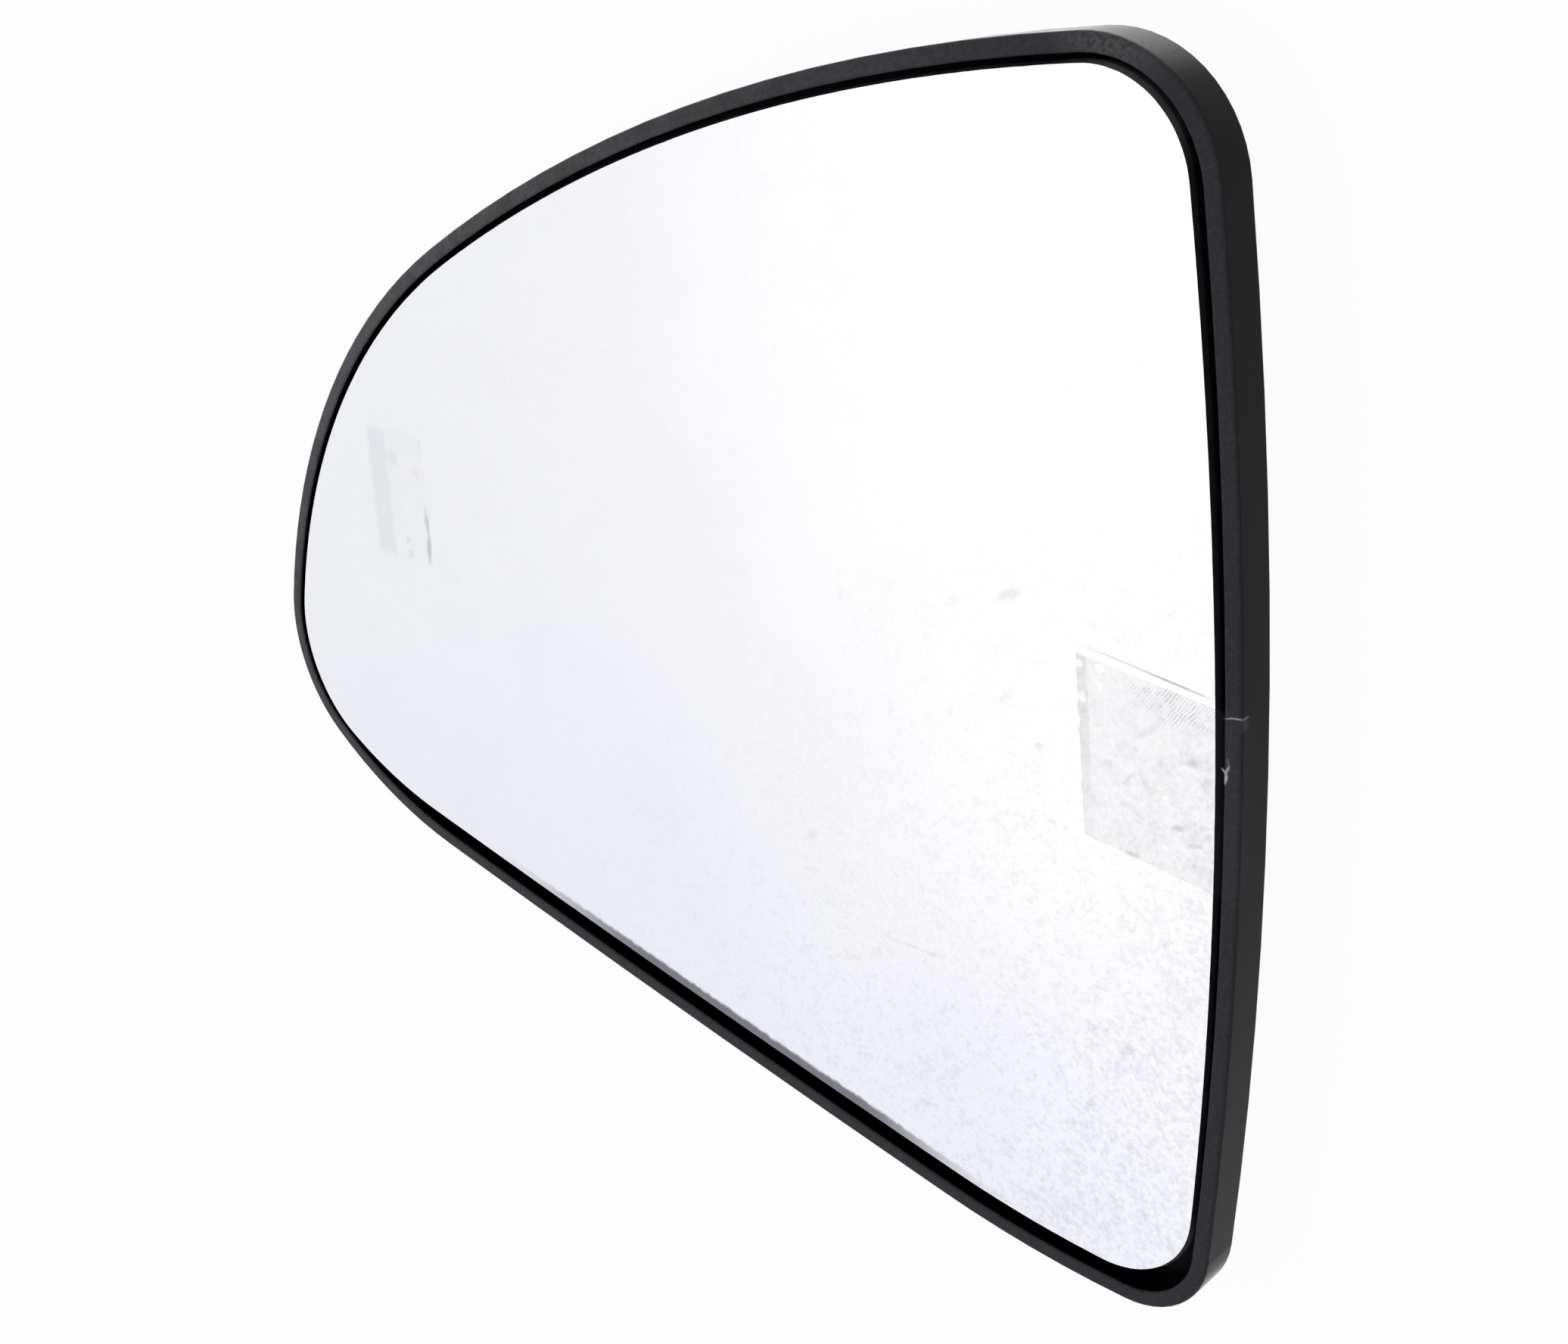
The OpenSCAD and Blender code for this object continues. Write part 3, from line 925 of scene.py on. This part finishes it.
@dataclass(frozen=True)
class TapeFinish:
    """Clear tape: a thin film that shades what lies under it, with adhesive smears, bubbles and glints.

    Args:
        name: the material's name.
        at: a point on the tape's middle line.
        lean: the direction of the tape, in degrees.
        width: its width.
        veil: how much one side of the film hides where the adhesive is even.
        clear: how much it hides off the glass.
        marks: smears and bubbles.
        glints: bright folds and edges.
        end: the film's own end on the glass and how far it slants, or nothing.
        end_strip: how much more it hides beside that end, at its lower and its upper edge.
        stripe: from where to where along the tape a darker stripe of adhesive crosses it, or nothing.
        stripe_depth: how much more that stripe hides.
        hatch: where the fine strokes lie, or nothing.
        stroke_way: the direction of the strokes, in degrees.
        stroke_pitch: how far apart they are.
        rim: the arc of the rim's opening, beyond which the film lies on black, or nothing.
        front: the height of the rim's front face, below which glints fade.
        film: the colour of the film where it hides what is under it.
        shine: the colour of the glints.
        glint_share: how much the brightest glint hides.
    """

    name: str
    at: Point
    lean: float
    width: float
    veil: float
    clear: float = 0.006
    marks: tuple[Mark, ...] = ()
    glints: tuple[Mark, ...] = ()
    end: Point | None = None
    end_strip: Point = (0.015, 0.042)
    stripe: Point | None = None
    stripe_depth: float = 0.026
    hatch: Mark | None = None
    stroke_way: float = 39.0
    stroke_pitch: float = 0.36
    rim: Arc | None = None
    front: float = Levels.front
    film: Colour = (0.285, 0.3, 0.375, 1.0)
    shine: Colour = (0.85, 0.85, 0.87, 1.0)
    glint_share: float = 0.3

    def beside_end(self, n: Nodes, u: object, v: object) -> bpy.types.NodeSocket:
        """The darker strip beside the film's end, which is stronger towards its upper edge."""
        end, slant = self.end
        torn = n.sum(n.product(v, slant), u)
        return n.product(n.span(torn, end + 1.5, end + 1.0), n.span(v, -4.0, 1.0, *self.end_strip))

    def cross_stripe(self, n: Nodes, u: object, v: object) -> bpy.types.NodeSocket:
        """The stripe of thicker adhesive that crosses the tape."""
        near, far = self.stripe
        inside = n.product(n.span(u, near - 0.1, near + 0.9), n.span(u, far + 0.5, far - 0.5))
        within = n.span(n.math("ABSOLUTE", v), self.width / 2 - 0.1, self.width / 2 - 1.2)
        return n.product(inside, within, self.stripe_depth)

    def strokes(self, n: Nodes, place: object) -> bpy.types.NodeSocket:
        """Fine parallel strokes within the hatched spot, broken up by noise."""
        across = n.along(n.warp(place, 700.0, 0.14), self.hatch.at, self.stroke_way)[1]
        wave = n.math("SINE", n.product(across, math.tau / self.stroke_pitch))
        broken = n.span(n.noise(place, 900.0, 3.0, 0.6), 0.4, 0.62, 0.1, 1.0)
        return n.product(n.sum(n.product(wave, 0.9), 0.6), Mark.total(n, place, (self.hatch,)), broken)

    def make(self) -> bpy.types.Material:
        """Makes the material."""
        material, n, shader = new_material(self.name)
        place = n.place()
        ragged = n.warp(place, 1100.0, 0.12)
        u, v = n.along(ragged, self.at, self.lean)
        haze = Effects.use(n, Effects.haze(), Place=place, Veil_Scale=330.0)
        even = n.span(haze.outputs["Haze"], 0.0, 1.0, 0.82, 1.3)
        mottle = n.drift(place, 1400.0, -0.22, 0.22, roughness=0.6)
        hide = n.sum(n.product(n.sum(even, mottle), self.veil), Mark.total(n, ragged, self.marks))
        if self.end is not None:
            hide = n.sum(hide, self.beside_end(n, u, v))
        if self.stripe is not None:
            hide = n.sum(hide, self.cross_stripe(n, u, v))
        if self.hatch is not None:
            hide = n.sum(hide, self.strokes(n, place))
        hide = n.math("MAXIMUM", hide, 0.0)
        glint = n.math("MINIMUM", Mark.total(n, ragged, self.glints), 1.0)
        if self.rim is not None:
            off_glass = n.span(n.beyond(place, self.rim), -1.0, -0.9)
            hide = n.sum(n.product(hide, n.math("SUBTRACT", 1.0, off_glass)), self.clear)
            height = n.millimetres(place)[2]
            glint = n.product(glint, n.span(height, self.front - 1.7, self.front - 0.7))
        n.feed(shader.inputs["Base Color"], n.mix(glint, self.film, self.shine))
        n.feed(shader.inputs["Alpha"], n.sum(hide, n.product(glint, self.glint_share), clamp=True))
        n.feed(shader.inputs["Roughness"], n.drift(place, 500.0, 0.2, 0.4))
        n.relief(shader, n.noise(place, 700.0), 0.3, 0.05)
        shader.inputs["IOR"].default_value = 1.47
        shader.inputs["Specular IOR Level"].default_value = 0.3
        return material


# Pieces


def ripple(*place: float) -> float:
    """Smooth noise from -1 to 1 at a place."""
    return noise.noise(Vector(place))


@dataclass
class MirrorGlass:
    """The silvered glass with its ground edge.

    Args:
        outline: the edge of its clear face.
        levels: its heights and widths.
        chip: how far the ground edge wanders inwards.
        sharp: how far an edge bends, in degrees, before it shows as an edge.
    """

    outline: Outline = field(default_factory=Outline)
    levels: Levels = field(default_factory=Levels)
    chip: float = 0.035
    sharp: float = 20.0

    def _worn(self, offset: float) -> list[Point]:
        """The outline at an offset, with the small unevenness that grinding leaves."""
        plain = self.outline.ring(offset)
        beyond = self.outline.ring(offset + 1.0)
        points = []
        for (x, y), (bx, by) in zip(plain, beyond):
            wave = ripple(x * 0.9, y * 0.9, 3.0) + 0.5 * ripple(x * 3.1, y * 3.1, 7.0)
            shift = -self.chip * abs(wave)
            points.append((x + (bx - x) * shift, y + (by - y) * shift))
        return points

    def glass(self) -> bpy.types.Object:
        """Builds the glass: silvered face, ground bevel, side and arris, and the rear."""
        v = self.levels
        ground = GlassFace.GROUND.value
        mesh = MeshMaker("glass_body")
        edge = v.bevel_w
        rear = mesh.loop(self.outline.ring(edge - v.arris_w), v.glass)
        low = mesh.loop(self.outline.ring(edge), v.glass + v.arris_w)
        high = mesh.loop(self.outline.ring(edge), v.front - v.bevel_h)
        face = mesh.loop(self._worn(0.0), v.front)
        mesh.cap(rear, up=False, material=ground)
        for lower, upper in ((rear, low), (low, high), (high, face)):
            mesh.bridge(lower, upper, ground)
        mesh.cap(face, up=True, material=GlassFace.SILVERED.value)
        piece = mesh.build([MirrorFinish().make(), GroundGlassFinish().make()], self.sharp)
        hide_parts("mirror_glass")
        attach(piece, BODY)
        return piece


@dataclass
class FilmSheet:
    """A closed thin film on a grid of rows and columns, each vertex with an upper and a lower place.

    Args:
        name: the piece's name.
        rows: how many rows the grid has, across the film.
        columns: how many columns it has, along the film.
        sharp: how far an edge bends, in degrees, before it shows as an edge.
    """

    name: str
    rows: int
    columns: int
    sharp: float = 50.0

    def build(
        self,
        upper: Callable[[float, float], Place],
        lower: Callable[[float, float], Place],
        material: bpy.types.Material,
    ) -> bpy.types.Object:
        """Builds the film.

        Args:
            upper: the place of the top surface at shares s and t of the film's width and length.
            lower: the same for the surface that sticks.
            material: its finish.

        Returns:
            The piece.
        """
        mesh = MeshMaker(self.name)
        grids = []
        for surface in (upper, lower):
            first = len(mesh.verts)
            for i in range(self.rows + 1):
                for j in range(self.columns + 1):
                    mesh.verts.append(surface(i / self.rows, j / self.columns))
            grids.append(first)
        stride = self.columns + 1
        top, under = grids
        for i in range(self.rows):
            for j in range(self.columns):
                a = i * stride + j
                quad = (a, a + 1, a + stride + 1, a + stride)
                mesh.faces.append(([top + q for q in quad], 0))
                mesh.faces.append(([under + q for q in reversed(quad)], 0))
        rim = list(range(self.columns))
        rim += [i * stride + self.columns for i in range(self.rows)]
        rim += [self.rows * stride + j for j in range(self.columns, 0, -1)]
        rim += [i * stride for i in range(self.rows, 0, -1)]
        for k, a in enumerate(rim):
            b = rim[(k + 1) % len(rim)]
            mesh.faces.append(((top + b, top + a, under + a, under + b), 0))
        return mesh.build([material], self.sharp)


@dataclass
class Tapes:
    """The two strips of clear tape.

    Args:
        opening: the outline of the rim's inner edge.
        levels: the heights and widths of what the tapes lie on.
        width: the width of the tape.
        side_more: how much wider the side tape is, beyond its upper edge.
        thickness: the thickness of the film.
        lift: how far it stays off what it sticks to.
        ragged: how far its torn ends wander.
        torn_share: how much of the tape's length the torn end wanders over, for the side and the nose tape.
        sag: how far the film hangs into the groove.
        bubble: the height of the highest bubbles.
        side_end: where the side tape ends on the glass, and how far that end slants.
        side_turn: how far it turns down the rim's wall.
        side_lean: its direction, in degrees.
        side_y: where its middle line crosses the upright axis.
        side_grid: the rows and columns of its film.
        nose_length: the length of the nose tape.
        nose_lean: its direction, in degrees.
        nose_at: its middle.
        nose_grid: the rows and columns of its film.
        side_hatch: where the fine strokes on the side tape lie.
        side_marks: smears and bubbles under the side tape.
        side_glints: its bright folds and edges.
        nose_marks: smears and bubbles under the nose tape.
        nose_stripe: from where to where along the nose tape its darker stripe runs.
    """

    opening: Outline = field(default_factory=lambda: Room().opening(Outline()))
    levels: Levels = field(default_factory=Levels)
    width: float = 19.9
    side_more: float = 0.4
    thickness: float = 0.045
    lift: float = 0.004
    ragged: float = 0.25
    torn_share: Point = (0.12, 0.1)
    sag: float = 0.05
    bubble: float = 0.028
    side_end: Point = (54.0, 0.18)
    side_turn: float = 2.4
    side_lean: float = -20.6
    side_y: float = 7.5
    side_grid: tuple[int, int] = (120, 150)
    nose_length: float = 13.0
    nose_lean: float = -15.5
    nose_at: Point = (-61.3, 22.4)
    nose_grid: tuple[int, int] = (90, 60)
    nose_stripe: Point = (-6.5, -2.1)
    side_hatch: Mark = Mark((65.0, -7.4), (7.4, 3.4), -20.6, 0.075)
    side_marks: tuple[Mark, ...] = (
        Mark((66.1, -13.5), (1.3, 0.8), 5, 0.075),
        Mark((67.2, -15.8), (1.5, 1.0), 0, 0.03),
        Mark((62.7, -20.7), (1.3, 0.5), 0, 0.09),
        Mark((64.3, -22.6), (1.4, 0.48), 5, 0.07),
        Mark((56.2, -24.0), (1.3, 0.5), -10, 0.07),
        Mark((56.4, -18.4), (0.7, 0.55), 10, 0.04),
        Mark((61.1, -10.3), (2.6, 0.7), 22, 0.028),
        Mark((57.3, -9.3), (1.2, 0.4), -60, 0.02),
        Mark((55.3, -13.8), (0.8, 0.7), 0, 0.015),
        Mark((57.7, -15.5), (1.8, 0.3), 35, 0.025),
        Mark((59.5, -15.7), (1.4, 0.3), -62, 0.02),
        Mark((56.8, -3.5), (0.8, 0.6), 0, -0.08),
        Mark((54.2, -3.0), (0.6, 0.6), 0, -0.12),
        Mark((53.8, -6.6), (0.6, 0.9), 0, -0.12),
        Mark((56.3, -5.3), (0.4, 0.7), 0, -0.08),
        Mark((61.8, -17.4), (0.5, 0.4), 0, -0.04),
        Mark((60.6, -22.9), (0.5, 0.4), 0, -0.05),
    )
    side_glints: tuple[Mark, ...] = (
        Mark((71.8, -8.7), (1.5, 0.17), 0, 0.75),
        Mark((72.6, -8.9), (0.7, 0.16), -25, 0.5),
        Mark((73.3, -9.7), (1.2, 1.2), 0, 0.3),
        Mark((69.6, -15.0), (1.0, 0.3), 74, 1.0),
        Mark((69.55, -14.2), (0.55, 0.24), 128, 0.8),
        Mark((70.05, -14.0), (0.75, 0.26), 55, 0.8),
        Mark((70.2, -13.3), (0.6, 0.3), 90, 0.25),
    )
    nose_marks: tuple[Mark, ...] = (
        Mark((-60.4, 28.0), (1.7, 2.1), 76, 0.03),
        Mark((-55.7, 25.3), (1.0, 1.6), 0, 0.016),
        Mark((-53.0, 28.8), (1.6, 0.9), 76, 0.012),
        Mark((-56.1, 18.0), (2.8, 0.85), 80, 0.1),
        Mark((-57.3, 14.4), (3.2, 0.8), 66.8, 0.12),
        Mark((-61.75, 16.1), (0.8, 0.8), 0, 0.035),
        Mark((-62.1, 13.9), (1.0, 0.9), 0, 0.035),
    )

    @property
    def side_width(self) -> float:
        """The side tape's width, with what it spreads beyond its upper edge."""
        return self.width + self.side_more

    def _edge_run(self, across: float, offset: float) -> float:
        """How far along the side tape's line, that far from its middle, the opening's side arc is crossed."""
        arc = self.opening.arc(Stretch.SIDE)
        lean = math.radians(self.side_lean)
        mx = -math.sin(lean) * across - arc.centre[0]
        my = self.side_y + math.cos(lean) * across - arc.centre[1]
        along = mx * math.cos(lean) + my * math.sin(lean)
        rest = mx * mx + my * my - (arc.radius + offset) ** 2
        return -along + math.sqrt(along * along - rest)

    def _at(self, run: float, across: float) -> Point:
        """The point of the side tape at a run along its line and a distance across it."""
        lean = math.radians(self.side_lean)
        return (
            run * math.cos(lean) - across * math.sin(lean),
            self.side_y + run * math.sin(lean) + across * math.cos(lean),
        )

    def _over_rim(self, run: float) -> tuple[float, float, float, float]:
        """The tape's section past the flat of the rim: offset, height and the direction it faces."""
        v = self.levels
        bend = math.pi / 2 * v.lip_round
        if run < bend:
            out, up = math.sin(run / v.lip_round), math.cos(run / v.lip_round)
            inner, low = v.rim_w - v.lip_round, v.front - v.lip_round
            return inner + v.lip_round * out, low + v.lip_round * up, out, up
        return v.rim_w, v.front - v.lip_round - (run - bend), 1.0, 0.0

    def _bubble(self, x: float, y: float, fineness: float, seed: float, least: float) -> float:
        """How far a bubble raises the film at a place."""
        return min(0.05 * max(0.0, ripple(x * fineness, y * fineness, seed) - least), self.bubble)

    def _side_point(self, s: float, t: float, height: float) -> Place:
        """A point of the side tape's film.

        Args:
            s: the share of its width, from its upper edge.
            t: the share of its length, from the torn end on the glass.
            height: how far above what it sticks to.

        Returns:
            The point, in millimetres.
        """
        v = self.levels
        across = (0.5 - s) * self.side_width + self.side_more / 2
        start = self.side_end[0] - self.side_end[1] * (across - self.width / 2)
        flat_end = self._edge_run(across, v.rim_w - v.lip_round)
        glass_end = self._edge_run(across, -1.0)
        past_flat = math.pi / 2 * v.lip_round + self.side_turn - v.lip_round
        run = start + t * (flat_end - start + past_flat)
        if run > flat_end:
            offset, z, out, up = self._over_rim(run - flat_end)
            x, y = self._at(self._edge_run(across, offset + height * out), across)
            return x, y, z + height * up
        torn = max(0.0, 1.0 - t / self.torn_share[0])
        wander = self.ragged * ripple(across * 0.8, 2.0, 5.0) + 0.15 * ripple(across * 2.7, 4.0, 9.0)
        x, y = self._at(run + torn * wander, across)
        sag = 0.0
        sag_start, sag_end = glass_end + 0.2, self._edge_run(across, 0.0)
        if sag_start < run < sag_end:
            sag = -self.sag * math.sin(math.pi * (run - sag_start) / (sag_end - sag_start))
        stuck = 1.0 if run < glass_end else 0.3
        return x, y, v.front + sag + height + stuck * self._bubble(x, y, 0.55, 11.0, 0.2)

    def _nose_point(self, s: float, t: float, height: float) -> Place:
        """A point of the nose tape's film, from the same shares as the side tape's."""
        lean = math.radians(self.nose_lean)
        across = (0.5 - s) * self.width
        torn = max(0.0, 1.0 - 2.0 * min(t, 1.0 - t) / self.torn_share[1])
        along = (t - 0.5) * self.nose_length + torn * self.ragged * ripple(across * 1.1, t * 3.0, 21.0)
        x = self.nose_at[0] + along * math.cos(lean) - across * math.sin(lean)
        y = self.nose_at[1] + along * math.sin(lean) + across * math.cos(lean)
        return x, y, self.levels.front + height + self._bubble(x, y, 0.4, 31.0, 0.25)

    def _film(
        self, sheet: FilmSheet, point: Callable[[float, float, float], Place], finish: TapeFinish
    ) -> bpy.types.Object:
        """Builds a film of the tape's thickness over the surface that point gives."""
        return sheet.build(
            lambda s, t: point(s, t, self.lift + self.thickness),
            lambda s, t: point(s, t, self.lift),
            finish.make(),
        )

    def side(self) -> bpy.types.Object:
        """Builds the side tape, from its torn end on the glass over the rim and down its wall."""
        end, slant = self.side_end
        finish = TapeFinish(
            "side_tape_clear",
            at=(0.0, self.side_y),
            lean=self.side_lean,
            width=self.width,
            veil=0.032,
            marks=self.side_marks,
            glints=self.side_glints,
            end=(end + slant * self.width / 2, slant),
            hatch=self.side_hatch,
            rim=self.opening.arc(Stretch.SIDE),
        )
        piece = self._film(FilmSheet("side_tape_film", *self.side_grid), self._side_point, finish)
        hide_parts("side_tape")
        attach(piece, BODY)
        return piece

    def nose(self) -> bpy.types.Object:
        """Builds the shorter strip that lies on the glass near the nose."""
        finish = TapeFinish(
            "nose_tape_clear",
            at=self.nose_at,
            lean=self.nose_lean,
            width=self.width,
            veil=0.006,
            clear=0.0,
            marks=self.nose_marks,
            stripe=self.nose_stripe,
        )
        piece = self._film(FilmSheet("nose_tape_film", *self.nose_grid), self._nose_point, finish)
        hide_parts("nose_tape")
        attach(piece, BODY)
        return piece


@dataclass
class BackingPlate:
    """The moulding and the pad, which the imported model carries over."""

    def dress(self) -> list[bpy.types.Object]:
        """Gives the carried-over pieces their finishes."""
        dressed = []
        for name, finish in (("backing_plate", MouldedBlack()), ("adhesive_pad", FoamFinish())):
            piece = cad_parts[name]
            piece.data.materials.clear()
            piece.data.materials.append(finish.make())
            dressed.append(piece)
        return dressed


# Studio


@dataclass(frozen=True)
class Studio:
    """The floor, the sky that the glass shows, the lamp and the camera, which itself sees a plain white sky.

    Args:
        floor_half: half the floor's side, in metres.
        floor_colour: its colour.
        floor_other: the colour that it drifts to in places.
        white_share: how much of the floor is seen as plain white, with the rest taking the shadow.
        sky_steps: the sky's colour at some heights, from its edge to overhead. It is brightest overhead.
        low_tint: what the sky is tinted by towards the lower end of the part.
        shaded_side: how bright the sky is on the side that the rim's outer wall faces.
        lamp_at: where the lamp hangs, in metres.
        lamp_size: its diameter, in metres.
        lamp_watts: its power.
        camera_at: the camera's place.
        camera_x: the direction of its right-hand side.
        camera_y: its upward direction.
        camera_z: its backward direction.
        lens: its focal length.
        sensor: the width of its sensor.
    """

    floor_half: float = 6.0
    floor_colour: Colour = (0.93, 0.93, 0.935, 1.0)
    floor_other: Colour = (0.94, 0.94, 0.94, 1.0)
    white_share: float = 0.955
    sky_steps: tuple[tuple[float, Colour], ...] = (
        (0.0, (0.80, 0.80, 0.83, 1.0)),
        (0.48, (0.848, 0.856, 0.894, 1.0)),
        (0.58, (0.878, 0.884, 0.92, 1.0)),
        (0.64, (0.908, 0.912, 0.952, 1.0)),
        (0.7, (0.992, 0.99, 1.015, 1.0)),
        (0.75, (1.03, 1.03, 1.04, 1.0)),
    )
    low_tint: Colour = (0.968, 0.972, 0.997, 1.0)
    shaded_side: float = 0.5
    lamp_at: Place = (-0.5, 0.3, 1.6)
    lamp_size: float = 1.2
    lamp_watts: float = 3.0
    camera_at: Place = (182.0, 46.73, 167.44)
    camera_x: Place = (0.68933, -0.22391, -0.68898)
    camera_y: Place = (0.0, 0.95104, -0.30908)
    camera_z: Place = (0.72445, 0.21306, 0.65558)
    lens: float = 45.6646
    sensor: float = 36.0

    @staticmethod
    def _either(
        n: Nodes, factor: object, first: bpy.types.Node, second: bpy.types.Node
    ) -> bpy.types.NodeSocket:
        """A mix of the shaders that two nodes put out."""
        both = n.add("MixShader", {"Fac": factor})
        n.feed(both.inputs[1], first.outputs[0])
        n.feed(both.inputs[2], second.outputs[0])
        return both.outputs["Shader"]

    def floor(self) -> bpy.types.Object:
        """Builds the pale floor, seen nearly white but for the part's soft shadow."""
        material, n, shader = new_material("studio_floor")
        tone = n.mix(n.drift(n.place(), 2.0), self.floor_colour, self.floor_other)
        n.feed(shader.inputs["Base Color"], tone)
        shader.inputs["Roughness"].default_value = 0.95
        shader.inputs["Specular IOR Level"].default_value = 0.1
        path = n.add("LightPath").outputs
        seen = n.sum(path["Is Camera Ray"], path["Is Transmission Ray"], path["Is Glossy Ray"], clamp=True)
        white = n.add("Emission", {"Color": WHITE, "Strength": 1.0})
        output = material.node_tree.get_output_node("ALL")
        n.feed(output.inputs["Surface"], self._either(n, n.product(seen, self.white_share), shader, white))
        mesh = bpy.data.meshes.new("studio_floor")
        grid = bmesh.new()
        bmesh.ops.create_grid(grid, x_segments=8, y_segments=8, size=self.floor_half)
        grid.to_mesh(mesh)
        grid.free()
        mesh.materials.append(material)
        piece = bpy.data.objects.new("studio_floor", mesh)
        bpy.context.scene.collection.objects.link(piece)
        return piece

    def sky(self) -> None:
        """Sets the world: white overhead, pale lavender lower down, and dimmer where the rim's wall faces."""
        world = bpy.data.worlds.new("studio_sky")
        world.use_nodes = True
        world.node_tree.nodes.clear()
        n = Nodes(world.node_tree)
        way = n.add("TexCoord").outputs["Generated"]
        x, y, z = n.parts(way)
        cloud = n.drift(way, 3.0, -0.012, 0.012, 2.0)
        ramp = n.add("ValToRGB", {"Fac": n.sum(z, cloud)})
        steps = ramp.color_ramp.elements
        for index, (height, colour) in enumerate(self.sky_steps):
            step = steps[index] if index < 2 else steps.new(height)
            step.position = height
            step.color = colour
        left = n.product(n.span(y, -0.1, -0.3), n.span(z, 0.64, 0.58))
        low = n.math("MAXIMUM", left, n.span(y, -0.33, -0.43))
        tint = n.mix(low, WHITE, self.low_tint)
        colour = n.vector("MULTIPLY", ramp.outputs["Color"], tint).outputs["Vector"]
        strength = n.span(x, -0.2, 0.6, 1.0, self.shaded_side)
        light = n.add("Background", {"Color": colour, "Strength": strength})
        plain = n.add("Background", {"Color": WHITE, "Strength": 1.0})
        seen = n.add("LightPath").outputs["Is Camera Ray"]
        n.add("OutputWorld", {"Surface": self._either(n, seen, light, plain)})
        bpy.context.scene.world = world

    def lamp(self) -> None:
        """Adds one large soft lamp overhead, which the mirror doesn't show."""
        data = bpy.data.lights.new("soft_lamp", "AREA")
        data.shape = "DISK"
        data.size = self.lamp_size
        data.energy = self.lamp_watts
        piece = bpy.data.objects.new("soft_lamp", data)
        piece.location = self.lamp_at
        piece.rotation_euler = (-piece.location).to_track_quat("-Z", "Y").to_euler()
        piece.visible_glossy = False
        bpy.context.scene.collection.objects.link(piece)

    def camera(self) -> None:
        """Sets the camera at the photograph's place, with its roll."""
        data = bpy.data.cameras.new("photo_camera")
        data.lens = self.lens
        data.sensor_width = self.sensor
        data.sensor_fit = "HORIZONTAL"
        data.clip_start = 0.01
        data.clip_end = 50.0
        piece = bpy.data.objects.new("photo_camera", data)
        turn = Matrix((self.camera_x, self.camera_y, self.camera_z)).transposed().to_4x4()
        piece.matrix_world = Matrix.Translation(Vector(self.camera_at) * MM) @ turn
        bpy.context.scene.collection.objects.link(piece)
        bpy.context.scene.camera = piece

    def build(self) -> None:
        """Builds the whole studio."""
        self.floor()
        self.sky()
        self.lamp()
        self.camera()
        bpy.context.scene.view_settings.view_transform = "Standard"


def main() -> None:
    """Builds the pieces in order and reports each."""
    logging.basicConfig(level=logging.INFO, format="%(name)s: %(message)s")
    Studio().build()
    LOG.info("studio set")
    for piece in BackingPlate().dress():
        LOG.info("dressed %s", piece.name)
    glass = MirrorGlass()
    tapes = Tapes()
    for make in (glass.glass, tapes.side, tapes.nose):
        piece = make()
        LOG.info("built %s, %d faces", piece.name, len(piece.data.polygons))


if __name__ == "__main__":
    main()
